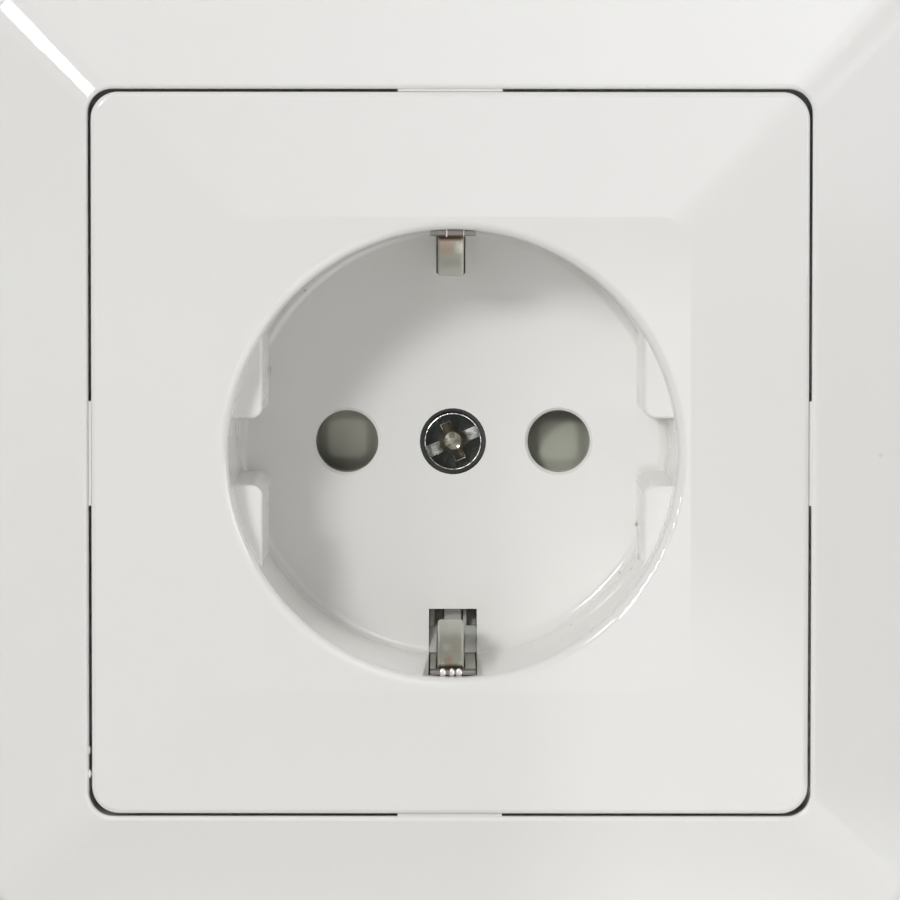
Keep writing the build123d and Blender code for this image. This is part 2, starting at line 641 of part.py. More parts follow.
def make_base_housing():
    """Insulating base: collar, flange, round body, contact chambers in front and terminals behind."""
    body = rod(BASE_RADIUS, -BASE_REACH, -FLANGE_THICKNESS)
    body = fillet(edges_at(body, -BASE_REACH), BASE_ROUND)
    body += rod(FLANGE_RADIUS, -FLANGE_THICKNESS, 0)
    body += rod(COLLAR_RADIUS, 0, RING_THICKNESS)
    body -= rod(CAVITY_RADIUS, COVER_BACK, RING_THICKNESS)
    half_channel = CLAW_CHANNEL_WIDTH / 2
    for side in (-1, 1):
        reach = sorted((side * CLAW_FLAT, side * (FLANGE_RADIUS + 1)))
        body -= block(reach, (-half_channel, half_channel), (-BASE_REACH, 0))
        body -= contact_chamber(side)
    for x, y in TERMINALS:
        body -= terminal_pocket(x, y)
    for angle in RIVET_ANGLES:
        x, y = rivet_place(angle)
        body -= rod(RIVET_RADIUS + RIVET_PLAY, -FLANGE_THICKNESS, 0, x, y)
    return body - earth_chamber()


def contact_chamber(side):
    """Room for one contact, open to the front: its leaves, its strip and its terminal pad."""
    x = side * PIN_X
    half = LEAF_WIDTH / 2 + CHAMBER_PLAY
    leaf_reach = max(LEAF_FOOT, LEAF_MOUTH) + STRIP_THICKNESS + LEAF_TRAVEL
    room = block((x - half, x + half), (-leaf_reach, TERMINAL_Y), (-CONTACT_SEAT, COVER_BACK))
    pad = TERMINAL_PAD / 2 + CHAMBER_PLAY
    tx = side * TERMINAL_X
    room += block((tx - pad, tx + pad), (TERMINAL_Y - pad, TERMINAL_Y + pad), (-CONTACT_SEAT, COVER_BACK))
    return room


def earth_chamber():
    """Groove for the earth strap, wells for its bends and bush, and the room round its terminal tab."""
    groove = CLIP_WIDTH / 2 + GROOVE_PLAY
    reach = CLIP_OUTER + GROOVE_PLAY
    room = block((-groove, groove), (-reach, reach), (STRAP_BACK, COVER_BACK))
    room += rod(BUSH_RADIUS + GROOVE_PLAY, STRAP_BACK - SCREW_REACH - 1, COVER_BACK)
    tab = EARTH_TAB_WIDTH / 2 + CHAMBER_PLAY
    shoulder = (-EARTH_TERMINAL_Y, -EARTH_TAB_Y + CLIP_WIDTH / 2 + CHAMBER_PLAY)
    room += block((-tab, tab), shoulder, (STRAP_BACK, COVER_BACK))
    room += block((-tab, tab), (-EARTH_TERMINAL_Y, -EARTH_TAB_Y + CHAMBER_PLAY), (-CONTACT_SEAT, COVER_BACK))
    pad = TERMINAL_PAD / 2 + CHAMBER_PLAY
    pad_room = (-EARTH_TERMINAL_Y - pad, -EARTH_TERMINAL_Y + pad)
    return room + block((-pad, pad), pad_room, (-CONTACT_SEAT, COVER_BACK))


def terminal_pocket(x, y):
    """Pocket behind a terminal pad, open at the back and on the side where the wire comes in."""
    half = TERMINAL_POCKET / 2
    side = 1 if y > 0 else -1
    reach = sorted((y - side * half, side * (FLANGE_RADIUS + 1)))
    return block((x - half, x + half), reach, (-BASE_REACH, -CONTACT_SEAT))


def make_terminal_screw(x, y):
    """Slotted screw driven from the back: its head holds the clamp plate, its shank is in the strip."""
    head = rod(TERMINAL_HEAD_RADIUS, CLAMP_BACK - TERMINAL_HEAD_HEIGHT, CLAMP_BACK, x, y)
    slot = Box(2 * TERMINAL_HEAD_RADIUS + 1, TERMINAL_SLOT, TERMINAL_HEAD_HEIGHT)
    head -= Pos(x, y, CLAMP_BACK - TERMINAL_HEAD_HEIGHT) * Rot(0, 0, SLOT_ANGLE) * slot
    return head + rod(TERMINAL_SHANK_RADIUS, CLAMP_BACK, STRIP_FRONT + TERMINAL_TIP, x, y)


def make_clamp_plate(x, y):
    """Square steel plate that a terminal screw presses on the wire."""
    half = TERMINAL_POCKET / 2 - CLAMP_PLAY
    plate = block((x - half, x + half), (y - half, y + half), (CLAMP_BACK, CLAMP_FRONT))
    plate = chamfer(edges_at(plate, CLAMP_FRONT), CLAMP_THICKNESS / 4)
    return plate - rod(TERMINAL_SHANK_RADIUS + THREAD_FIT, CLAMP_BACK, CLAMP_FRONT, x, y)


def make_support_ring():
    """Stamped steel plate with clipped corners that carries the base and lies on the wall."""
    half = RING_SIZE / 2
    outline = chamfer(Rectangle(RING_SIZE, RING_SIZE).vertices(), RING_CLIP)
    body = extrude(outline, RING_THICKNESS)
    body -= rod(RING_OPENING_RADIUS, 0, RING_THICKNESS)
    for side in (-1, 1):
        body -= rod(FIXING_RADIUS, 0, RING_THICKNESS, 0, side * FIXING_SPACING / 2)
        body -= rod(CLAW_SCREW_RADIUS + CLAW_SCREW_PLAY, 0, RING_THICKNESS, side * CLAW_SCREW_X)
    for angle in RIVET_ANGLES:
        x, y = rivet_place(angle)
        body -= rod(RIVET_RADIUS + RIVET_PLAY, 0, RING_THICKNESS, x, y)
        slot = SlotOverall(half / 4, 2 * FIXING_RADIUS)
        far = (RIVET_CIRCLE + FIXING_SPACING / 2) / 2 + 4 * FIXING_RADIUS
        cut = extrude(Rot(0, 0, angle) * Pos(far, 0) * Rot(0, 0, 90) * slot, RING_THICKNESS)
        body -= cut
    return body


def rivet_place(angle):
    return RIVET_CIRCLE * cos(radians(angle)), RIVET_CIRCLE * sin(radians(angle))


def make_ring_rivets():
    """Four tubular-head rivets through the ring and the base's flange."""
    rivets = []
    for angle in RIVET_ANGLES:
        x, y = rivet_place(angle)
        rivet = rod(RIVET_RADIUS, -FLANGE_THICKNESS, RING_THICKNESS, x, y)
        top = RING_THICKNESS + RIVET_HEAD_HEIGHT
        head = rod(RIVET_HEAD_RADIUS, RING_THICKNESS, top, x, y)
        rivet += fillet(edges_at(head, top), RIVET_HEAD_HEIGHT / 2)
        rivet += rod(RIVET_HEAD_RADIUS, -FLANGE_THICKNESS - RIVET_HEAD_HEIGHT, -FLANGE_THICKNESS, x, y)
        rivets.append(rivet)
    return Compound(children=rivets)


def make_claw(side):
    """Bent steel claw on its screw: a short web with the screw's hole and a long toothed arm."""
    web = CLAW_PIVOT_DEPTH - CLAW_THICKNESS / 2
    arm = profile_along_y(
        [
            (CLAW_INNER, -web),
            (CLAW_OUTER, -web),
            (CLAW_OUTER, -CLAW_LENGTH + CLAW_TOOTH),
            (CLAW_OUTER + CLAW_TOOTH, -CLAW_LENGTH),
            (CLAW_OUTER + CLAW_TOOTH - CLAW_THICKNESS, -CLAW_LENGTH - CLAW_TOOTH),
            (CLAW_OUTER - CLAW_THICKNESS, -CLAW_LENGTH + CLAW_TOOTH),
            (CLAW_OUTER - CLAW_THICKNESS, -web - CLAW_THICKNESS),
            (CLAW_INNER, -web - CLAW_THICKNESS),
        ],
        CLAW_WIDTH,
    )
    corner = arm.edges().filter_by(Axis.Y).sort_by_distance((CLAW_OUTER, 0, -web))[0]
    arm = fillet(corner, CLAW_THICKNESS)
    bead = Cylinder(CLAW_BEAD_RADIUS, CLAW_WIDTH, rotation=(90, 0, 0))
    arm += Pos(CLAW_SCREW_X, 0, -CLAW_PIVOT_DEPTH) * bead
    hole_reach = CLAW_PIVOT_DEPTH + 2 * CLAW_THICKNESS
    arm -= rod(CLAW_SCREW_RADIUS + CLAW_HOLE_PLAY, -hole_reach, 0, CLAW_SCREW_X)
    for y in (-CLAW_WIDTH / 6, CLAW_WIDTH / 6):
        arm -= Pos(CLAW_OUTER, y, -CLAW_LENGTH) * Box(4 * CLAW_THICKNESS, CLAW_TOOTH, 2 * CLAW_THICKNESS)
    return arm if side > 0 else mirror(arm, Plane.YZ)


def make_claw_screw(side):
    """Slotted screw that hangs in the ring and passes through a claw."""
    x = side * CLAW_SCREW_X
    top = RING_THICKNESS + CLAW_SCREW_HEAD_HEIGHT
    head = rod(CLAW_SCREW_HEAD_RADIUS, RING_THICKNESS, top, x)
    head = chamfer(edges_at(head, top), SCREW_HEAD_CHAMFER)
    slot = Box(SLOT_WIDTH, 2 * CLAW_SCREW_HEAD_RADIUS + 1, 2 * SLOT_DEPTH)
    head -= Pos(x, 0, top) * slot
    return head + rod(CLAW_SCREW_RADIUS, -CLAW_SCREW_REACH, RING_THICKNESS, x)


def place(part):
    """Stand a piece drawn facing the room in the part's own frame: +Y into the wall, +Z up."""
    return Plane.XZ.location * part


live, neutral, earth = TERMINALS
PIECES = {
    "cover_frame": make_cover_frame(),
    "centre_plate": make_centre_plate(),
    "centre_screw": make_centre_screw(),
    "earth_bracket": make_earth_bracket(),
    "shutter": make_shutter(),
    "shutter_spring": make_shutter_spring(),
    "contact_cover": make_contact_cover(),
    "base_housing": make_base_housing(),
    "live_contact": make_contact(-1),
    "neutral_contact": make_contact(1),
    "live_terminal_screw": make_terminal_screw(*live),
    "neutral_terminal_screw": make_terminal_screw(*neutral),
    "earth_terminal_screw": make_terminal_screw(*earth),
    "live_clamp_plate": make_clamp_plate(*live),
    "neutral_clamp_plate": make_clamp_plate(*neutral),
    "earth_clamp_plate": make_clamp_plate(*earth),
    "support_ring": make_support_ring(),
    "ring_rivets": make_ring_rivets(),
    "left_claw": make_claw(-1),
    "right_claw": make_claw(1),
    "left_claw_screw": make_claw_screw(-1),
    "right_claw_screw": make_claw_screw(1),
}

os.makedirs("parts", exist_ok=True)
for name, piece in PIECES.items():
    export_step(place(piece), f"parts/{name}.step")
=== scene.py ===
import bpy
import bmesh
import math
from mathutils import Matrix, Quaternion, Vector


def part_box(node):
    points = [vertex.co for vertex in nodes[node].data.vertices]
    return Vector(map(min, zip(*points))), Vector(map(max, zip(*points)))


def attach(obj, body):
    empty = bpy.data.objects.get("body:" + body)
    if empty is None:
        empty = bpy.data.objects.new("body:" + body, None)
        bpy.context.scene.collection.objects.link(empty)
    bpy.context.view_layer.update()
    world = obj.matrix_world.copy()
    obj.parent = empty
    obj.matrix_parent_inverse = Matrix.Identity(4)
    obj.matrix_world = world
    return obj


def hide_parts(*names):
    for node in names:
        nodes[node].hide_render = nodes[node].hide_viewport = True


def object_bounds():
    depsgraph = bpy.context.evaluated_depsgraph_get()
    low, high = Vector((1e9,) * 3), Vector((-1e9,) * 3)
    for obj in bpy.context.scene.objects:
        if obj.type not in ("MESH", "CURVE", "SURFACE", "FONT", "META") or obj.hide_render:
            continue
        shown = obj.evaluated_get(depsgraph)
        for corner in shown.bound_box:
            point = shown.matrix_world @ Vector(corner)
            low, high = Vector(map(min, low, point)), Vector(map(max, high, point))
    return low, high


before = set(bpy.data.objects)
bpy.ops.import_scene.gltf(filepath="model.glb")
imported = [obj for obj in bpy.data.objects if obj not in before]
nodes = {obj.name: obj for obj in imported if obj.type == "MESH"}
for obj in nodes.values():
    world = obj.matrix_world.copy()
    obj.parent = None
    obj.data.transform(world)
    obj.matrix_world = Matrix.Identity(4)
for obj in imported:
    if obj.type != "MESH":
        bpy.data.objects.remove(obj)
cad_low, cad_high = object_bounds()

# Cover frame.
# The outer square moulding: one gloss injection moulding in white plastic with four sloping faces
# that meet in soft mitres. It lies on the wall and is clamped by the centre plate.

WHITE = (0.87, 0.863, 0.84)
AGED_WHITE = (0.855, 0.846, 0.818)
WHITE_ROUGHNESS = 0.05
WHITE_ROUGHNESS_SPREAD = 0.05
WHITE_RELIEF = 0.10
DIRT = (0.30, 0.30, 0.28)
FRAME_FACE_DEPTH = -0.0075
# A speck is its centre, its reach, its stretches upright and into the wall, and its strength.
FRAME_SPECKS = [((0.0377, FRAME_FACE_DEPTH, -0.0003), 0.0003, 1.0, 4.0, 0.3)]
# Pattern sizes of a moulded skin, in repeats per metre, and the share of its finest pattern.
CLOUD_SCALE = 38.0
WAVE_SCALE = 160.0
PEEL_SCALE = 2600.0
PEEL_SHARE = 0.12
RELIEF_DEPTH = 0.0001
SPECK_SCALE = 4500.0
SPECK_CORE = 0.7
SPECK_EDGE = 1.5


def add_node(tree, kind, **settings):
    node = tree.nodes.new(kind)
    for name, value in settings.items():
        setattr(node, name, value)
    return node


def set_or_link(tree, socket, value):
    """Links another node's output to a socket, or sets a fixed number, vector or colour on it."""
    if isinstance(value, bpy.types.NodeSocket):
        tree.links.new(value, socket)
    elif socket.type == "RGBA":
        socket.default_value = (*value, 1.0)
    else:
        socket.default_value = value


def calculate(tree, operation, *values):
    """A Math node on fixed numbers and other nodes' outputs."""
    node = add_node(tree, "ShaderNodeMath", operation=operation)
    for socket, value in zip(node.inputs, values):
        set_or_link(tree, socket, value)
    return node.outputs["Value"]


def vector_step(tree, operation, *values):
    """A Vector Math node. A length or a dot product puts out a number, the others a vector."""
    node = add_node(tree, "ShaderNodeVectorMath", operation=operation)
    for socket, value in zip(node.inputs, values):
        set_or_link(tree, socket, value)
    return node.outputs["Value" if operation in ("LENGTH", "DOT_PRODUCT") else "Vector"]


def noise(tree, place, scale, detail):
    texture = add_node(tree, "ShaderNodeTexNoise")
    texture.inputs["Scale"].default_value = scale
    texture.inputs["Detail"].default_value = detail
    tree.links.new(place, texture.inputs["Vector"])
    return texture.outputs["Fac"]


def fade(tree, value, start, end, low, high, shape="SMOOTHSTEP"):
    """A level that goes from low to high while a value goes from start to end."""
    span = add_node(tree, "ShaderNodeMapRange", interpolation_type=shape)
    names = ("From Min", "From Max", "To Min", "To Max")
    for name, number in zip(names, (start, end, low, high)):
        span.inputs[name].default_value = number
    tree.links.new(value, span.inputs["Value"])
    return span.outputs["Result"]


def mix_colours(tree, mask, below, above, blend="MIX"):
    """Lays one colour over another by a mask. Each is fixed or another node's output."""
    layer = add_node(tree, "ShaderNodeMix", data_type="RGBA", blend_type=blend)
    for name, value in (("Factor", mask), ("A", below), ("B", above)):
        set_or_link(tree, layer.inputs[name], value)
    return layer.outputs["Result"]


def new_group(name, inputs, outputs):
    """An empty shader node group, with the sockets that its nodes read from and write to."""
    group = bpy.data.node_groups.new(name, "ShaderNodeTree")
    for direction, sockets in (("INPUT", inputs), ("OUTPUT", outputs)):
        for label, kind in sockets:
            group.interface.new_socket(name=label, in_out=direction, socket_type=kind)
    source = group.nodes.new("NodeGroupInput")
    sink = group.nodes.new("NodeGroupOutput")
    return group, source.outputs, sink.inputs


def use_group(material, group, place, **values):
    """Puts a node group in a material, at the given coordinates and with its own values."""
    tree = material.node_tree
    node = add_node(tree, "ShaderNodeGroup", node_tree=group)
    tree.links.new(place, node.inputs["Place"])
    for name, value in values.items():
        set_or_link(tree, node.inputs[name.replace("_", " ")], value)
    return node.outputs


def moulded_skin_group():
    """Clouds, waves and a fine peel on a surface: a colour, a roughness and a bump height."""
    group, source, sink = new_group(
        "moulded_skin",
        [
            ("Place", "NodeSocketVector"),
            ("Clean Colour", "NodeSocketColor"),
            ("Aged Colour", "NodeSocketColor"),
            ("Gloss Roughness", "NodeSocketFloat"),
            ("Roughness Spread", "NodeSocketFloat"),
        ],
        [
            ("Colour", "NodeSocketColor"),
            ("Roughness", "NodeSocketFloat"),
            ("Height", "NodeSocketFloat"),
        ],
    )
    cloud = noise(group, source["Place"], CLOUD_SCALE, 3.0)
    wave = noise(group, source["Place"], WAVE_SCALE, 1.0)
    peel = noise(group, source["Place"], PEEL_SCALE, 2.0)
    colour = mix_colours(group, cloud, source["Clean Colour"], source["Aged Colour"])
    spread, gloss = source["Roughness Spread"], source["Gloss Roughness"]
    group.links.new(colour, sink["Colour"])
    group.links.new(calculate(group, "MULTIPLY_ADD", wave, spread, gloss), sink["Roughness"])
    group.links.new(calculate(group, "MULTIPLY_ADD", peel, PEEL_SHARE, wave), sink["Height"])
    return group


def speck_group():
    """A small mark with a ragged edge: a mask round one point, stretched upright and inwards."""
    group, source, sink = new_group(
        "dirt_speck",
        [
            ("Place", "NodeSocketVector"),
            ("Centre", "NodeSocketVector"),
            ("Reach", "NodeSocketFloat"),
            ("Tall", "NodeSocketFloat"),
            ("Deep", "NodeSocketFloat"),
        ],
        [("Mask", "NodeSocketFloat")],
    )
    squeeze = add_node(group, "ShaderNodeCombineXYZ")
    squeeze.inputs["X"].default_value = 1.0
    for stretch, axis in (("Tall", "Z"), ("Deep", "Y")):
        group.links.new(calculate(group, "DIVIDE", 1.0, source[stretch]), squeeze.inputs[axis])
    offset = vector_step(group, "SUBTRACT", source["Place"], source["Centre"])
    distance = vector_step(
        group, "LENGTH", vector_step(group, "MULTIPLY", offset, squeeze.outputs["Vector"])
    )
    share = calculate(group, "DIVIDE", distance, source["Reach"])
    ragged = calculate(group, "ADD", share, noise(group, source["Place"], SPECK_SCALE, 2.0))
    group.links.new(fade(group, ragged, SPECK_CORE, SPECK_EDGE, 1.0, 0.0), sink["Mask"])
    return group


moulded_skin = moulded_skin_group()
dirt_speck = speck_group()


def plain_material(name, colour, roughness, metallic=0.0):
    """A material with only its Principled shader, and the shader itself."""
    material = bpy.data.materials.new(name)
    material.use_nodes = True
    shader = material.node_tree.nodes["Principled BSDF"]
    shader.inputs["Base Color"].default_value = (*colour, 1.0)
    shader.inputs["Roughness"].default_value = roughness
    shader.inputs["Metallic"].default_value = metallic
    return material, shader


def object_coordinates(material):
    return material.node_tree.nodes.new("ShaderNodeTexCoord").outputs["Object"]


def paint(material, colour):
    """Makes another node's output the colour of a material's surface."""
    tree = material.node_tree
    tree.links.new(colour, tree.nodes["Principled BSDF"].inputs["Base Color"])


def add_skin(material, place, clean, aged, roughness, spread):
    """Gives a material a clouded colour and an uneven gloss, and returns the skin's outputs."""
    skin = use_group(
        material,
        moulded_skin,
        place,
        Clean_Colour=clean,
        Aged_Colour=aged,
        Gloss_Roughness=roughness,
        Roughness_Spread=spread,
    )
    tree = material.node_tree
    tree.links.new(skin["Roughness"], tree.nodes["Principled BSDF"].inputs["Roughness"])
    paint(material, skin["Colour"])
    return skin


def add_relief(material, height, strength):
    """Raises the surface a little where a height is greater."""
    tree = material.node_tree
    relief = add_node(tree, "ShaderNodeBump")
    relief.inputs["Strength"].default_value = strength
    relief.inputs["Distance"].default_value = RELIEF_DEPTH
    tree.links.new(height, relief.inputs["Height"])
    tree.links.new(relief.outputs["Normal"], tree.nodes["Principled BSDF"].inputs["Normal"])


def moulded_plastic(name, clean, aged, roughness, spread, relief):
    """A moulded plastic: cloudy tint, uneven gloss and a very fine skin. Returns its colour too."""
    material, _ = plain_material(name, clean, roughness)
    skin = add_skin(material, object_coordinates(material), clean, aged, roughness, spread)
    add_relief(material, skin["Height"], relief)
    return material, skin["Colour"]


def white_gloss(name):
    return moulded_plastic(
        name, WHITE, AGED_WHITE, WHITE_ROUGHNESS, WHITE_ROUGHNESS_SPREAD, WHITE_RELIEF
    )


def soil(material, colour, specks, speck_colour):
    """Lays specks over a colour, paints the material with it and returns it."""
    place = object_coordinates(material)
    for centre, reach, tall, deep, strength in specks:
        speck = use_group(
            material, dirt_speck, place, Centre=centre, Reach=reach, Tall=tall, Deep=deep
        )
        amount = calculate(material.node_tree, "MULTIPLY", speck["Mask"], strength)
        colour = mix_colours(material.node_tree, amount, colour, speck_colour)
    paint(material, colour)
    return colour


def dress(name, material):
    """Gives a carried-over CAD piece its material."""
    piece = nodes[name]
    piece.data.materials.clear()
    piece.data.materials.append(material)


frame_plastic, frame_colour = white_gloss("white_gloss_frame")
soil(frame_plastic, frame_colour, FRAME_SPECKS, DIRT)
dress("cover_frame", frame_plastic)

# Moulding flash.
# Two burrs on the frame's inner left edge, low down, that lean into the gap round the plate. They
# are the same white plastic, a few tenths of a millimetre tall.

FLASH_HEIGHTS = (-0.0262, -0.0283)
FLASH_REACHES = (0.00012, 0.00022)
FLASH_HALF_THICKNESS = 0.0003
FLASH_HALF_LENGTH = 0.0004
FLASH_EDGE = -0.03201
FLASH_DEPTH = -0.00885


def new_piece(name, mesh, material, body="insert"):
    """Turns a bmesh into a finished piece that moves with a body."""
    data = bpy.data.meshes.new(name)
    mesh.to_mesh(data)
    mesh.free()
    data.materials.append(material)
    piece = bpy.data.objects.new(name, data)
    bpy.context.scene.collection.objects.link(piece)
    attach(piece, body)
    return piece


flash = bmesh.new()
for height, reach in zip(FLASH_HEIGHTS, FLASH_REACHES):
    burr = bmesh.ops.create_icosphere(flash, subdivisions=3, radius=1.0)["verts"]
    bmesh.ops.scale(flash, vec=(reach, FLASH_HALF_THICKNESS, FLASH_HALF_LENGTH), verts=burr)
    bmesh.ops.translate(flash, vec=(FLASH_EDGE, FLASH_DEPTH, height), verts=burr)
for face in flash.faces:
    face.smooth = True
flash_piece = new_piece("frame_flash", flash, frame_plastic)

# Centre plate.
# The second white gloss moulding: a square plate and the round plug well in one piece, held by one
# screw. Specks of dirt lie round the well. The bore round the screw's head is painted nearly black:
# painted shade in the narrow gap.

FLOOR_DEPTH = 0.0072
PLATE_SPECKS = [
    ((0.0166, -0.0015, -0.0052), 0.00026, 1.4, 9.0, 0.6),
    ((0.0166, -0.0015, -0.0065), 0.00030, 1.6, 9.0, 0.8),
    ((0.0166, 0.0060, -0.0074), 0.00036, 1.2, 9.0, 0.9),
    ((0.0166, 0.0044, -0.0083), 0.00032, 2.0, 9.0, 1.0),
    ((0.0166, 0.0023, -0.0091), 0.00034, 1.4, 9.0, 1.0),
    ((0.0166, 0.0023, -0.0099), 0.00032, 1.5, 9.0, 1.0),
    ((0.0166, 0.0035, -0.0106), 0.00034, 1.0, 9.0, 1.0),
    ((0.0160, 0.0020, -0.0110), 0.00028, 1.0, 3.0, 1.0),
    ((0.0150, 0.0070, -0.0118), 0.00018, 1.0, 2.0, 0.6),
    ((0.0145, 0.0013, -0.0129), 0.00020, 1.0, 3.0, 0.45),
    ((0.0106, 0.0035, -0.0162), 0.00022, 1.0, 3.0, 0.45),
    ((0.0097, -0.0029, -0.0170), 0.00022, 1.0, 3.0, 0.35),
    ((-0.0133, FLOOR_DEPTH, 0.0136), 0.00022, 1.0, 2.0, 0.6),
    ((-0.0164, FLOOR_DEPTH, 0.0064), 0.00010, 6.0, 2.0, 0.5),
    ((0.01945, -0.0021, 0.0014), 0.00020, 1.0, 4.0, 0.5),
]
# Painted shade: the bore round the screw's head, below the floor, is painted nearly black.
BORE_SHADE_RADIUS = 0.0031
BORE_SHADE_START = FLOOR_DEPTH + 0.00012
PAINTED_BORE_SHADE = (0.03, 0.03, 0.028)
SQUARE_TO_AXIS = (1.0, 0.0, 1.0)


def along_axis(material, axis):
    """One Object coordinate of a piece, in metres."""
    split = add_node(material.node_tree, "ShaderNodeSeparateXYZ")
    material.node_tree.links.new(object_coordinates(material), split.inputs["Vector"])
    return split.outputs[axis]


def distance_from(tree, place, centre):
    """How far a place lies from a centre, seen along the socket's axis."""
    offset = vector_step(tree, "SUBTRACT", place, centre)
    return vector_step(tree, "LENGTH", vector_step(tree, "MULTIPLY", offset, SQUARE_TO_AXIS))


plate_plastic, plate_colour = white_gloss("white_gloss_plate")
plate_colour = soil(plate_plastic, plate_colour, PLATE_SPECKS, DIRT)
plate_tree = plate_plastic.node_tree
# Painted shade in the narrow bore round the screw's head.
from_axis = distance_from(plate_tree, object_coordinates(plate_plastic), (0.0, 0.0, 0.0))
near_screw = calculate(plate_tree, "LESS_THAN", from_axis, BORE_SHADE_RADIUS)
in_bore = calculate(plate_tree, "GREATER_THAN", along_axis(plate_plastic, "Y"), BORE_SHADE_START)
bore_shade = calculate(plate_tree, "MULTIPLY", near_screw, in_bore)
paint(plate_plastic, mix_colours(plate_tree, bore_shade, plate_colour, PAINTED_BORE_SHADE))
dress("centre_plate", plate_plastic)

# Shutter.
# A grey moulded piece behind the well's floor that turns on the contact cover's boss. Each of its
# blades has a crowned pad that the plug's pins push aside.

SHUTTER_GREY = (0.42, 0.43, 0.36)
AGED_SHUTTER_GREY = (0.37, 0.37, 0.31)
PAD_CENTRE = 0.0095
PAD_HALF = 0.0020
# The pad's top is level up to one share of its half width, and is down on the blade at another.
PAD_FLAT = 0.75
PAD_FOOT = 1.35
PAD_SQUARENESS = 4
PAD_TOP = 0.00042
PAD_SKIN = 0.00003
PAD_SOLE = -0.0003
RAMP_MIDDLE = -0.01045
RAMP_SLOPE = -0.2459
CREASE_ANGLE = math.radians(40)
# Small pieces are drawn facing up, then tipped to face out of the wall.
TO_ROW = Matrix.Rotation(math.radians(90), 4, "X")


def smooth_step(low, high, value):
    share = min(max((value - low) / (high - low), 0.0), 1.0)
    return share * share * (3 - 2 * share)


def crowned_pad(mesh, turn):
    """A soft-edged cushion on one blade's ramp, drawn on the right and turned about the boss."""
    pad = bmesh.ops.create_uvsphere(mesh, u_segments=64, v_segments=40, radius=1.0)["verts"]
    for vert in pad:
        flat = math.hypot(vert.co.x, vert.co.y)
        if flat > 0:
            corners = sum(abs(side / flat) ** PAD_SQUARENESS for side in vert.co.xy)
            reach = PAD_FOOT * PAD_HALF * corners ** (-1 / PAD_SQUARENESS)
            vert.co.x *= reach
            vert.co.y *= reach
        rise = PAD_TOP * (1 - smooth_step(PAD_FLAT, PAD_FOOT, PAD_FOOT * flat)) + PAD_SKIN
        ramp = RAMP_MIDDLE + RAMP_SLOPE * vert.co.y
        vert.co.z = ramp + (rise if vert.co.z > 0 else PAD_SOLE)
        vert.co.x += PAD_CENTRE
    bmesh.ops.transform(mesh, matrix=TO_ROW @ Matrix.Rotation(turn, 4, "Z"), verts=pad)


def smooth_faces(mesh):
    """Smooth shading everywhere but over edges that bend more than the crease angle."""
    for face in mesh.faces:
        face.smooth = True
    for edge in mesh.edges:
        edge.smooth = edge.calc_face_angle(math.pi) < CREASE_ANGLE


shutter_plastic, _ = moulded_plastic(
    "shutter_grey", SHUTTER_GREY, AGED_SHUTTER_GREY, 0.45, 0.1, 0.4
)
dress("shutter", shutter_plastic)
pads = bmesh.new()
for turn in (0, math.pi):
    crowned_pad(pads, turn)
smooth_faces(pads)
pad_piece = new_piece("shutter_pads", pads, shutter_plastic, "shutter")

# Contact cover and base housing.
# Two grey insulating mouldings. The cover is a disc that closes the contact chambers and carries
# the shutter, and the housing behind it holds the contacts and the terminals.

COVER_GREY = (0.52, 0.52, 0.49)
AGED_COVER_GREY = (0.46, 0.46, 0.43)
BASE_GREY = (0.50, 0.50, 0.46)
AGED_BASE_GREY = (0.44, 0.44, 0.40)

cover_plastic, _ = moulded_plastic(
    "contact_cover_grey", COVER_GREY, AGED_COVER_GREY, 0.5, 0.1, 0.4
)
dress("contact_cover", cover_plastic)
base_plastic, _ = moulded_plastic("base_grey", BASE_GREY, AGED_BASE_GREY, 0.5, 0.1, 0.5)
dress("base_housing", base_plastic)

# Cover fillets.
# Small fillets, ribs and webs moulded on the cover round the lower tongue. They close the way from
# the guard pad to the clip's legs, and leave a shallow pocket in each upper corner of the slot.

# A strip's upper end and its lower end: a height on the socket and a level behind its front.
FILLET_ENDS = (-0.0168, -0.00868), (-0.01904, -0.0069)
RIB_ENDS = (-0.0150, -0.0092), (-0.0170, -0.00868)
WEB_ENDS = (-0.0150, -0.0106), (-0.0170, -0.0098)
SLOT_SIDE = 0.00213
GUARD_STRIPS = (
    (-SLOT_SIDE, -0.00142, FILLET_ENDS),
    (0.00104, SLOT_SIDE, FILLET_ENDS),
    (-SLOT_SIDE, -0.00166, RIB_ENDS),
    (0.00090, 0.00124, RIB_ENDS),
    (-SLOT_SIDE, -0.00080, WEB_ENDS),
    (0.00090, SLOT_SIDE, WEB_ENDS),
)
STRIP_THICKNESS = 0.0005
STRIP_EDGE = 0.00008

strips = bmesh.new()
for left, right, (upper_end, lower_end) in GUARD_STRIPS:
    strip = bmesh.ops.create_cube(strips, size=1.0)["verts"]
    for vert in strip:
        across = right if vert.co.x > 0 else left
        place, surface = upper_end if vert.co.y > 0 else lower_end
        vert.co = (across, place, surface - (0 if vert.co.z > 0 else STRIP_THICKNESS))
bmesh.ops.bevel(
    strips,
    geom=strips.edges[:],
    offset=STRIP_EDGE,
    affect="EDGES",
    segments=2,
    profile=0.5,
    material=-1,
)
bmesh.ops.transform(strips, matrix=TO_ROW, verts=strips.verts)
bmesh.ops.recalc_face_normals(strips, faces=strips.faces)
smooth_faces(strips)
strip_piece = new_piece("cover_fillets", strips, cover_plastic)
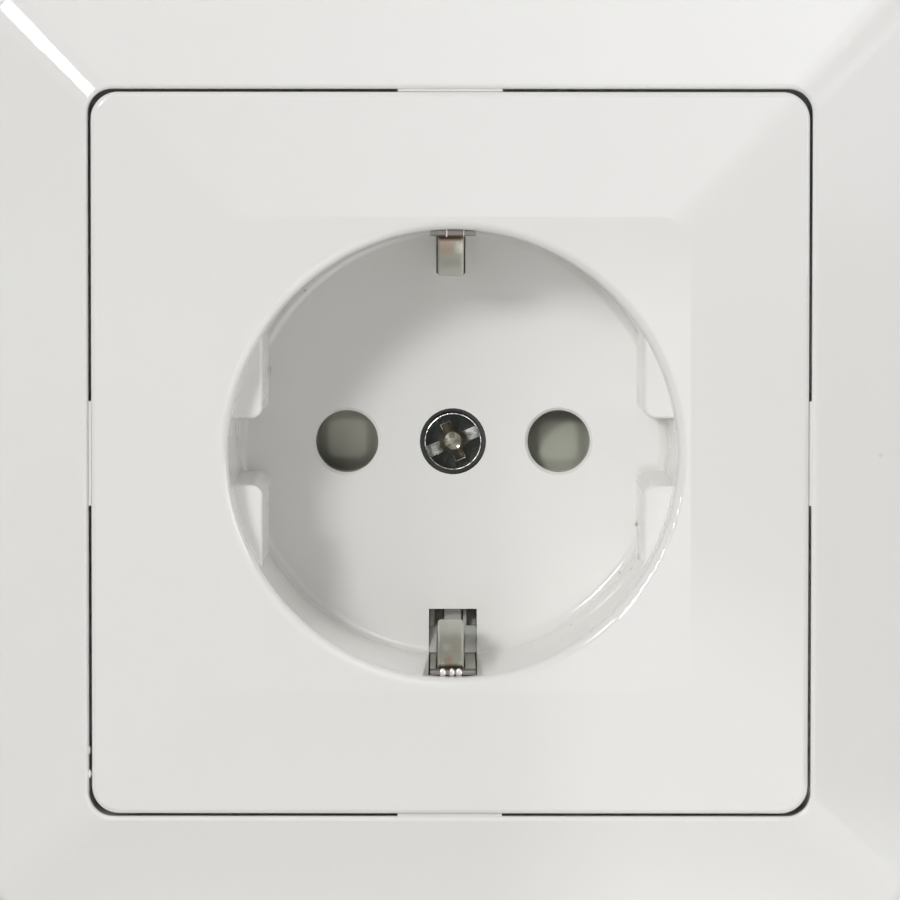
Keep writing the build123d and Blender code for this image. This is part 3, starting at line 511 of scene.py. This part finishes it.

# Centre screw.
# A cheese-head machine screw in steel. Its top is painted nearly black as a dark reflection, and
# every edge is painted bright, as worn metal and as a highlight. Its recess is a straight slot
# crossed by two short deep arms round a sunk middle, which holds old grease. Grease and painted
# shade darken the recess's deep walls, and the flank in the gap round the head is painted shade.

SCREW_LOW, SCREW_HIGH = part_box("centre_screw")
SCREW_TOP = SCREW_LOW[1]
SCREW_END = SCREW_HIGH[1]
HEAD_RADIUS = 0.0026
HEAD_HEIGHT = 0.00135
HEAD_ROUND = 0.00014
SHANK_RADIUS = 0.00145
SLOT_TURN = math.radians(22.7)
SLOT_HALF = 0.00052
SLOT_FLOOR = 0.00060
ARM_HALF = 0.00050
ARM_REACH = 0.00180
ARM_FLOOR = 0.00088
# The arms' deeper part is a little narrower and shorter than the recess above it.
DEEP_ARM_HALF = 0.9 * ARM_HALF
DEEP_ARM_REACH = 0.97 * ARM_REACH
SUNK_RADIUS = 0.00084
SUNK_TAPER = 0.1
SUNK_FLOOR = 0.00108
LOBE_ROUND = 0.00060
EDGE_RUB = 0.00012
RUB_ANGLE = math.radians(35)
# Painted dark reflection: the top's near-black, also the colour of random dark mottling.
DARK_MOTTLE_AND_REFLECTION = (0.022, 0.023, 0.020)
# Worn edges, painted bright as a highlight; also the colour of a painted glint.
WORN_STEEL_AND_HIGHLIGHT = (0.86, 0.85, 0.82)
SLOT_STEEL = (0.30, 0.30, 0.28)
# Grease, and painted shade on the recess's deep walls.
GREASE_AND_SHADE = (0.034, 0.029, 0.020)
SUNK_GREY = (0.24, 0.23, 0.185)
# Painted shade on the head's flank, in the gap round it.
PAINTED_FLANK_SHADE = (0.02, 0.02, 0.02)
SCREW_ROUGHNESS = 0.24
SCREW_RAMP = 0.0012
SPECKLE_SCALE = 2400.0
BLOTCH_START = 0.42
BLOTCH_END = 0.62
BLOTCH_STRENGTH = 0.65
DENT_STRENGTH = 0.5
WOBBLE_SCALE = 2600.0
WOBBLE_SHARE = 0.6
# Radii at which a tone of the screw's top starts to fade, and at which it has gone.
GREASE_AND_SHADE_FADE = (0.0011, 0.0017)
SUNK_FADE = (0.00072, 0.00086)
GLINT_FADE = (0.00004, 0.00019)
TOP_FADE = (0.00252, 0.00256)
# A painted highlight: a small bright glint on the sunk middle.
GLINT_PLACE = (0.00046, SCREW_TOP, -0.00048)


def is_inner_corner(edge):
    """True for the upright edges where the cutter's two bars cross."""
    low, high = (vert.co for vert in edge.verts)
    upright = abs(low.z - high.z) > SLOT_FLOOR
    return upright and abs(low.x) < 2 * ARM_HALF and abs(low.y) < 2 * SLOT_HALF


def recess_cutter():
    """A plus-shaped block, a long bar and a cross bar, with the corners between them rounded."""
    mesh = bmesh.new()
    bmesh.ops.create_grid(mesh, x_segments=3, y_segments=3, size=1.0)
    corners = [
        face
        for face in mesh.faces
        if min(abs(side) for side in face.calc_center_median().xy) > 0.5
    ]
    bmesh.ops.delete(mesh, geom=corners, context="FACES")
    for vert in mesh.verts:
        across = 2 * HEAD_RADIUS if abs(vert.co.x) > 0.5 else ARM_HALF
        along = ARM_REACH if abs(vert.co.y) > 0.5 else SLOT_HALF
        vert.co.x = math.copysign(across, vert.co.x)
        vert.co.y = math.copysign(along, vert.co.y)
    bmesh.ops.dissolve_faces(mesh, faces=mesh.faces[:])
    sides = bmesh.ops.extrude_face_region(mesh, geom=mesh.faces[:])["geom"]
    raised = [part for part in sides if isinstance(part, bmesh.types.BMVert)]
    bmesh.ops.translate(mesh, verts=raised, vec=(0, 0, 2 * SLOT_FLOOR))
    bmesh.ops.translate(mesh, verts=mesh.verts, vec=(0, 0, -SLOT_FLOOR))
    bmesh.ops.bevel(
        mesh,
        geom=[edge for edge in mesh.edges if is_inner_corner(edge)],
        offset=LOBE_ROUND,
        affect="EDGES",
        segments=6,
        profile=0.5,
        material=-1,
    )
    bmesh.ops.recalc_face_normals(mesh, faces=mesh.faces)
    return mesh


def arm_cutter():
    """The deeper part of the two cross arms."""
    mesh = bmesh.new()
    bmesh.ops.create_cube(mesh, size=2.0)
    bmesh.ops.scale(mesh, vec=(DEEP_ARM_HALF, DEEP_ARM_REACH, ARM_FLOOR), verts=mesh.verts)
    return mesh


def sunk_cutter():
    """The round sunk middle, a little narrower at its floor."""
    mesh = bmesh.new()
    bmesh.ops.create_cone(
        mesh,
        cap_ends=True,
        segments=40,
        radius1=(1 - SUNK_TAPER) * SUNK_RADIUS,
        radius2=(1 + SUNK_TAPER) * SUNK_RADIUS,
        depth=2 * SUNK_FLOOR,
    )
    return mesh


def apply_modifiers(piece):
    """Makes a piece's modifiers part of its mesh."""
    graph = bpy.context.evaluated_depsgraph_get()
    result = bpy.data.meshes.new_from_object(piece.evaluated_get(graph))
    piece.modifiers.clear()
    piece.data = result


def cut_head(screw, mesh):
    """Turns a cutter to the slot's angle, stands it in the head's top and takes it away."""
    stand = Matrix.Translation((0, SCREW_TOP, 0)) @ TO_ROW @ Matrix.Rotation(SLOT_TURN, 4, "Z")
    bmesh.ops.transform(mesh, matrix=stand, verts=mesh.verts)
    data = bpy.data.meshes.new("recess")
    mesh.to_mesh(data)
    mesh.free()
    cutter = bpy.data.objects.new("recess", data)
    bpy.context.scene.collection.objects.link(cutter)
    cut = screw.modifiers.new("recess", "BOOLEAN")
    cut.object = cutter
    cut.operation = "DIFFERENCE"
    cut.solver = "EXACT"
    apply_modifiers(screw)
    bpy.data.objects.remove(cutter)


def turned_screw():
    """The screw before its recess is cut: half its outline, spun round the socket's axis."""
    mesh = bmesh.new()
    profile = [
        (0, SCREW_TOP),
        (HEAD_RADIUS - HEAD_ROUND, SCREW_TOP),
        (HEAD_RADIUS - HEAD_ROUND / 4, SCREW_TOP + HEAD_ROUND / 3),
        (HEAD_RADIUS, SCREW_TOP + HEAD_ROUND),
        (HEAD_RADIUS, SCREW_TOP + HEAD_HEIGHT),
        (SHANK_RADIUS, SCREW_TOP + HEAD_HEIGHT),
        (SHANK_RADIUS, SCREW_END),
        (0, SCREW_END),
    ]
    outline = [mesh.verts.new((radius, depth, 0)) for radius, depth in profile]
    for pair in zip(outline, outline[1:]):
        mesh.edges.new(pair)
    bmesh.ops.spin(
        mesh,
        geom=mesh.verts[:] + mesh.edges[:],
        cent=(0, 0, 0),
        axis=(0, 1, 0),
        angle=math.tau,
        steps=72,
        use_merge=True,
    )
    bmesh.ops.remove_doubles(mesh, verts=mesh.verts, dist=1e-7)
    bmesh.ops.recalc_face_normals(mesh, faces=mesh.faces)
    return mesh


def depth_ramp(material, start, length, stops):
    """Colours that change into the wall: stops are shares of the length, each with a colour."""
    tree = material.node_tree
    share = fade(tree, along_axis(material, "Y"), start, start + length, 0.0, 1.0, "LINEAR")
    ramp = add_node(tree, "ShaderNodeValToRGB")
    for _ in stops[2:]:
        ramp.color_ramp.elements.new(0.5)
    for element, (place, colour) in zip(ramp.color_ramp.elements, stops):
        element.position = place
        element.color = (*colour, 1.0)
    tree.links.new(share, ramp.inputs["Fac"])
    return ramp.outputs["Color"]


def round_mask(material, centre, near, far):
    """1 nearer than one distance from a centre, 0 beyond another, with an uneven edge."""
    tree = material.node_tree
    place = object_coordinates(material)
    wobble = noise(tree, place, WOBBLE_SCALE, 3.0)
    blur = WOBBLE_SHARE * (far - near)
    distance = distance_from(tree, place, centre)
    uneven = calculate(tree, "MULTIPLY_ADD", wobble, blur, distance)
    return fade(tree, uneven, near + blur / 2, far + blur / 2, 1.0, 0.0)


def screw_by_depth(slot_tone):
    """Painted dark top as a reflection, edges painted bright as wear and highlight, grease and
    painted shade on the deep walls, and a tone for the slot's floor.
    """
    stops = [
        (0.0, DARK_MOTTLE_AND_REFLECTION),
        (0.002, DARK_MOTTLE_AND_REFLECTION),
        (0.008, WORN_STEEL_AND_HIGHLIGHT),
        (0.105, WORN_STEEL_AND_HIGHLIGHT),
        (0.13, GREASE_AND_SHADE),
        (0.485, GREASE_AND_SHADE),
        (0.495, slot_tone),
        (0.51, slot_tone),
        (0.54, GREASE_AND_SHADE),
    ]
    return depth_ramp(screw_steel, SCREW_TOP, SCREW_RAMP, stops)


screw_steel, _ = plain_material("screw_painted_dark_top", DARK_MOTTLE_AND_REFLECTION, SCREW_ROUGHNESS, metallic=1.0)
screw_tree = screw_steel.node_tree
speckle = noise(screw_tree, object_coordinates(screw_steel), SPECKLE_SCALE, 4.0)
blotch = fade(screw_tree, speckle, BLOTCH_START, BLOTCH_END, 0.0, BLOTCH_STRENGTH, "LINEAR")
add_relief(screw_steel, speckle, DENT_STRENGTH)
screw_middle = (0.0, SCREW_TOP, 0.0)
screw_colour = mix_colours(screw_tree, blotch, screw_by_depth(SLOT_STEEL), DARK_MOTTLE_AND_REFLECTION)
sunk_colour = mix_colours(screw_tree, blotch, SUNK_GREY, GREASE_AND_SHADE)
# Grease and painted shade near the middle, the sunk middle's grease speckles, and a painted glint.
for middle, reaches, tone in (
    (screw_middle, GREASE_AND_SHADE_FADE, screw_by_depth(GREASE_AND_SHADE)),
    (screw_middle, SUNK_FADE, sunk_colour),
    (GLINT_PLACE, GLINT_FADE, WORN_STEEL_AND_HIGHLIGHT),
):
    spot = round_mask(screw_steel, middle, *reaches)
    screw_colour = mix_colours(screw_tree, spot, screw_colour, tone)
# The head's flank, in the gap round it, is painted nearly black as shade.
on_top = round_mask(screw_steel, screw_middle, *TOP_FADE)
paint(screw_steel, mix_colours(screw_tree, on_top, PAINTED_FLANK_SHADE, screw_colour))

screw_piece = new_piece("centre_screw_head", turned_screw(), screw_steel)
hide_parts("centre_screw")
for cutter_mesh in (recess_cutter(), arm_cutter(), sunk_cutter()):
    cut_head(screw_piece, cutter_mesh)
rub = screw_piece.modifiers.new("rubbed_edges", "BEVEL")
rub.width = EDGE_RUB
rub.segments = 2
rub.limit_method = "ANGLE"
rub.angle_limit = RUB_ANGLE
apply_modifiers(screw_piece)
finished = bmesh.new()
finished.from_mesh(screw_piece.data)
smooth_faces(finished)
finished.to_mesh(screw_piece.data)
finished.free()

# Earth bracket.
# One stamped spring strip, nickel plated, with the rolling marks of the sheet along its length.
# Near the tongues' roots it has pink and orange patches. Its pale spots are painted highlights, and
# the dark band at each tongue's root is a painted shadow under the bridge.

NICKEL = (0.62, 0.62, 0.55)
DULL_NICKEL = (0.50, 0.49, 0.43)
BLUSH = (0.56, 0.38, 0.29)
BLUSH_SPECKS = [
    ((-0.0006, -0.0066, 0.0183), 0.00110, 1.2, 3.0, 0.6),
    ((-0.0004, -0.0070, -0.0184), 0.00060, 1.0, 3.0, 0.9),
]
# Pale spots on the tongues: painted highlights.
PAINTED_HIGHLIGHT = (0.86, 0.85, 0.80)
PAINTED_HIGHLIGHT_SPECKS = [
    ((0.0006, -0.0064, 0.0180), 0.00065, 1.4, 3.0, 0.8),
    ((-0.0009, -0.0073, -0.0188), 0.00030, 1.0, 3.0, 0.9),
    ((0.0006, -0.0073, -0.0188), 0.00030, 1.0, 3.0, 0.9),
    ((-0.0006, -0.0052, -0.0175), 0.00070, 1.0, 2.0, 0.5),
]
# The strip's tone from the bridge, over a painted shadow under the bridge at the tongue's root, to
# the open tongue.
ROOT_START = -0.0080
ROOT_BAND = 0.0010
BRIDGE_TONE = (0.36, 0.34, 0.35)
PAINTED_ROOT_SHADOW = (0.13, 0.10, 0.06)
OPEN = (1.0, 1.0, 1.0)
ROOT_STOPS = [(0.0, BRIDGE_TONE), (0.12, PAINTED_ROOT_SHADOW), (0.45, PAINTED_ROOT_SHADOW), (0.75, OPEN)]
ALONG_CLIP = (6.0, 1.0, 1.0)


def brushed_metal(name, bright, dull, roughness, spread, stretch):
    """A plated or brushed metal: streaks in tone and gloss. Returns its colour too."""
    material, _ = plain_material(name, bright, roughness, metallic=1.0)
    mapping = add_node(material.node_tree, "ShaderNodeMapping")
    mapping.inputs["Scale"].default_value = stretch
    material.node_tree.links.new(object_coordinates(material), mapping.inputs["Vector"])
    skin = add_skin(material, mapping.outputs["Vector"], bright, dull, roughness, spread)
    return material, skin["Colour"]


nickel, nickel_colour = brushed_metal(
    "nickel_strip", NICKEL, DULL_NICKEL, 0.30, 0.12, ALONG_CLIP
)
nickel_colour = soil(nickel, nickel_colour, BLUSH_SPECKS, BLUSH)
nickel_colour = soil(nickel, nickel_colour, PAINTED_HIGHLIGHT_SPECKS, PAINTED_HIGHLIGHT)
# Painted shadow: a dark band across each tongue's root, under the bridge.
root_tone_and_shadow = depth_ramp(nickel, ROOT_START, ROOT_BAND, ROOT_STOPS)
paint(nickel, mix_colours(nickel.node_tree, 1.0, nickel_colour, root_tone_and_shadow, "MULTIPLY"))
dress("earth_bracket", nickel)

# Clip beads.
# The stamping tool leaves small upright beads on the front edge of each clip's bridge, where the
# plating is worn bright.

BEAD_BRIGHT = (0.66, 0.64, 0.62)
BEAD_DULL = (0.44, 0.42, 0.41)
CLIP_FRONT = -0.0083
BRIDGE_MIDDLE = 0.01945
BEAD_HALF_DEPTH = 0.00014
BEAD_HALF_HEIGHT = 0.00046
# Each bead's place across the clip, and its half width.
UPPER_BEADS = ((-0.00058, 0.00011), (0.00092, 0.00009))
LOWER_BEADS = ((-0.00091, 0.00030), (-0.00010, 0.00026), (0.00052, 0.00030))

bead_plating, _ = brushed_metal("nickel_bead", BEAD_BRIGHT, BEAD_DULL, 0.26, 0.1, ALONG_CLIP)
beads = bmesh.new()
for side, row in ((1, UPPER_BEADS), (-1, LOWER_BEADS)):
    for across, half_width in row:
        bead = bmesh.ops.create_uvsphere(beads, u_segments=24, v_segments=16, radius=1.0)["verts"]
        bmesh.ops.scale(beads, vec=(half_width, BEAD_HALF_DEPTH, BEAD_HALF_HEIGHT), verts=bead)
        place = (across, CLIP_FRONT, side * BRIDGE_MIDDLE)
        bmesh.ops.translate(beads, vec=place, verts=bead)
smooth_faces(beads)
bead_piece = new_piece("clip_beads", beads, bead_plating)

# Terminal screws and claw screws.
# Zinc-plated steel screws. The claw screws have a rolled thread from just under the ring to their
# tips, which pulls the claws outwards.

ZINC = (0.66, 0.65, 0.62)
DULL_ZINC = (0.42, 0.41, 0.39)
CLAW_SCREW_X = 0.0263
THREAD_ROOT = 0.00125
THREAD_CREST = 0.00142
THREAD_PITCH = 0.0007
THREAD_START = 0.0015
THREAD_END = 0.0246
THREAD_STEPS = 16
# A ridge's section: each radius, and its place along the thread as a share of the pitch.
RIDGE = ((THREAD_ROOT, -0.38), (THREAD_CREST, -0.06), (THREAD_CREST, 0.06), (THREAD_ROOT, 0.38))

zinc, _ = brushed_metal("zinc_screw", ZINC, DULL_ZINC, 0.28, 0.15, (1.0, 1.0, 1.0))
for name in (
    "live_terminal_screw",
    "neutral_terminal_screw",
    "earth_terminal_screw",
    "left_claw_screw",
    "right_claw_screw",
):
    dress(name, zinc)
turns = int((THREAD_END - THREAD_START) / THREAD_PITCH)
threads = bmesh.new()
for side in (-1, 1):
    centre = side * CLAW_SCREW_X
    ridge = [
        threads.verts.new((centre + radius, THREAD_START + share * THREAD_PITCH, 0))
        for radius, share in RIDGE
    ]
    section = threads.faces.new(ridge)
    bmesh.ops.spin(
        threads,
        geom=[section, *section.edges, *section.verts],
        cent=(centre, 0, 0),
        axis=(0, 1, 0),
        dvec=(0, THREAD_PITCH / THREAD_STEPS, 0),
        angle=math.tau * turns,
        steps=THREAD_STEPS * turns,
    )
bmesh.ops.recalc_face_normals(threads, faces=threads.faces)
smooth_faces(threads)
thread_piece = new_piece("claw_screw_threads", threads, zinc)

# Support ring, rivets, claws, clamp plates and shutter spring.
# Stamped and bent from galvanised sheet steel, but for the rivets and the spring's wire. The rivets
# hold the ring to the base housing.

GALVANISED = (0.66, 0.67, 0.66)
DULL_GALVANISED = (0.50, 0.51, 0.51)

galvanised, _ = brushed_metal(
    "galvanised_sheet", GALVANISED, DULL_GALVANISED, 0.32, 0.15, (1.0, 1.0, 4.0)
)
for name in (
    "support_ring",
    "ring_rivets",
    "left_claw",
    "right_claw",
    "live_clamp_plate",
    "neutral_clamp_plate",
    "earth_clamp_plate",
    "shutter_spring",
):
    dress(name, galvanised)

# Live and neutral contacts.
# Sprung contacts stamped from brass strip, which grip the plug's pins behind the shutter. Each
# reaches back to its terminal screw.

BRASS = (0.80, 0.58, 0.27)
DULL_BRASS = (0.60, 0.40, 0.18)

brass, _ = brushed_metal("contact_brass", BRASS, DULL_BRASS, 0.25, 0.15, (1.0, 4.0, 1.0))
for name in ("live_contact", "neutral_contact"):
    dress(name, brass)

# Studio: floor, light and camera.
# A pale floor just under the frame's lower edge, a soft window high on the left, a dim ceiling, a
# low side fill on the right, and a long lens a little above the socket's axis.

FLOOR_DROP = 0.0005
FLOOR_HALF = 1.2
FLOOR_GREY = (0.80, 0.80, 0.79)
FLOOR_ROUGHNESS = 0.7
# What the gloss mirrors of the floor: an even level, and a bright patch to the right of the axis.
MIRRORED_FLOOR = 0.22
BRIGHT_PATCH = 1.9
PATCH_LEFT_EDGE = (0.001, 0.018)
PATCH_RIGHT_EDGE = (0.05, 0.12)
PALE_FLOOR = 0.2

floor_mesh = bmesh.new()
bmesh.ops.create_grid(floor_mesh, x_segments=1, y_segments=1, size=FLOOR_HALF)
floor_level = (0, 0, cad_low[2] - FLOOR_DROP)
bmesh.ops.translate(floor_mesh, verts=floor_mesh.verts, vec=floor_level)
floor_data = bpy.data.meshes.new("studio_floor")
floor_mesh.to_mesh(floor_data)
floor_mesh.free()
floor = bpy.data.objects.new("studio_floor", floor_data)
bpy.context.scene.collection.objects.link(floor)
floor_paint, floor_shader = plain_material("studio_floor", FLOOR_GREY, FLOOR_ROUGHNESS)
floor_data.materials.append(floor_paint)
floor_tree = floor_paint.node_tree
to_the_right = along_axis(floor_paint, "X")
left_edge = fade(floor_tree, to_the_right, *PATCH_LEFT_EDGE, 0.0, 1.0)
right_edge = fade(floor_tree, to_the_right, *PATCH_RIGHT_EDGE, 0.0, 1.0)
patch = calculate(floor_tree, "SUBTRACT", left_edge, right_edge)
floor_ray = add_node(floor_tree, "ShaderNodeLightPath").outputs
floor_glow = calculate(floor_tree, "MULTIPLY_ADD", patch, BRIGHT_PATCH, MIRRORED_FLOOR)
floor_glow = calculate(floor_tree, "MULTIPLY", floor_glow, floor_ray["Is Glossy Ray"])
floor_glow = calculate(
    floor_tree, "MULTIPLY_ADD", floor_ray["Is Camera Ray"], PALE_FLOOR, floor_glow
)
floor_shader.inputs["Emission Color"].default_value = (1.0, 1.0, 1.0, 1.0)
floor_tree.links.new(floor_glow, floor_shader.inputs["Emission Strength"])


def room_direction(azimuth, elevation):
    """A direction from the socket into the room: degrees to the right of its axis, and above."""
    turn = math.radians(azimuth)
    rise = math.radians(elevation)
    level = math.cos(rise)
    return Vector((math.sin(turn) * level, -math.cos(turn) * level, math.sin(rise)))


def area_lamp(name, azimuth, elevation, distance, width, height, power, mirrored):
    """A soft lamp that faces the socket. One that isn't mirrored leaves no highlight on gloss."""
    data = bpy.data.lights.new(name, "AREA")
    data.shape = "RECTANGLE"
    data.size = width
    data.size_y = height
    data.energy = power
    lamp = bpy.data.objects.new(name, data)
    bpy.context.scene.collection.objects.link(lamp)
    toward = room_direction(azimuth, elevation)
    lamp.location = distance * toward
    lamp.rotation_euler = (-toward).to_track_quat("-Z", "Y").to_euler()
    lamp.visible_glossy = mirrored


# Azimuth, elevation, distance, width, height, power, and whether the gloss mirrors the lamp.
LAMPS = (
    ("window_light", -26.9, 21.0, 1.63, 0.27, 0.27, 7.9, True),
    ("window_haze", -33.0, 22.0, 1.63, 0.9, 1.0, 3.2, False),
    ("ceiling_fill", -20.0, 60.0, 1.4, 0.7, 0.7, 2.8, False),
    ("side_fill", 70.0, 10.0, 1.4, 0.6, 0.6, 4.9, True),
)
for lamp in LAMPS:
    area_lamp(*lamp)

ROOM_WHITE = (0.98, 0.98, 1.0, 1.0)
AMBIENT = 0.214
GLOSSY_BASE = 0.72
BACKDROP = 1.0
# Bright patches of the room that the gloss mirrors: azimuth, elevation, falloff and strength.
GLOWS = (
    (5.0, 41.7, 420.0, 2.9),
    (3.2, 6.7, 500.0, 2.2),
    (20.0, 38.0, 60.0, 3.5),
    (14.0, 4.0, 100.0, 1.0),
    (42.0, 6.0, 40.0, 1.9),
)
world = bpy.data.worlds.new("studio")
world.use_nodes = True
bpy.context.scene.world = world
sky = world.node_tree
backdrop = sky.nodes["Background"]
backdrop.inputs["Color"].default_value = ROOM_WHITE
direction = add_node(sky, "ShaderNodeTexCoord").outputs["Generated"]


def room_glow(azimuth, elevation, falloff, strength):
    """A soft round patch of brightness: the cosine to its direction, raised to a power."""
    cosine = vector_step(sky, "DOT_PRODUCT", direction, room_direction(azimuth, elevation))
    front = calculate(sky, "MAXIMUM", cosine, 0.0)
    return calculate(sky, "MULTIPLY", calculate(sky, "POWER", front, falloff), strength)


def level_for(ray_kind, other_level, own_level):
    """One level of brightness for a kind of ray, and another level for all other rays."""
    node = add_node(sky, "ShaderNodeMix", data_type="FLOAT")
    for place, value in zip((0, 2, 3), (ray[ray_kind], other_level, own_level)):
        set_or_link(sky, node.inputs[place], value)
    return node.outputs[0]


mirrored_room = GLOSSY_BASE
for glow in GLOWS:
    mirrored_room = calculate(sky, "ADD", mirrored_room, room_glow(*glow))
ray = add_node(sky, "ShaderNodeLightPath").outputs
room_level = level_for("Is Glossy Ray", AMBIENT, mirrored_room)
room_level = level_for("Is Camera Ray", room_level, BACKDROP)
sky.links.new(room_level, backdrop.inputs["Strength"])

CAMERA_DISTANCE = 0.700
CAMERA_RISE = math.radians(3.92)
CAMERA_ROLL = math.radians(0.04)
LENS = 319.1
SENSOR_WIDTH = 36.0
AIM_POINT = Vector((-0.000263, -0.0095, 0.00036))

camera_data = bpy.data.cameras.new("photo_camera")
camera_data.lens = LENS
camera_data.sensor_width = SENSOR_WIDTH
camera = bpy.data.objects.new("photo_camera", camera_data)
bpy.context.scene.collection.objects.link(camera)
view_line = Vector((0, -math.cos(CAMERA_RISE), math.sin(CAMERA_RISE)))
camera.location = AIM_POINT + CAMERA_DISTANCE * view_line
tilt = (-view_line).to_track_quat("-Z", "Y")
camera.rotation_euler = (tilt @ Quaternion((0, 0, 1), CAMERA_ROLL)).to_euler()
bpy.context.scene.camera = camera
bpy.context.scene.view_settings.view_transform = "Standard"
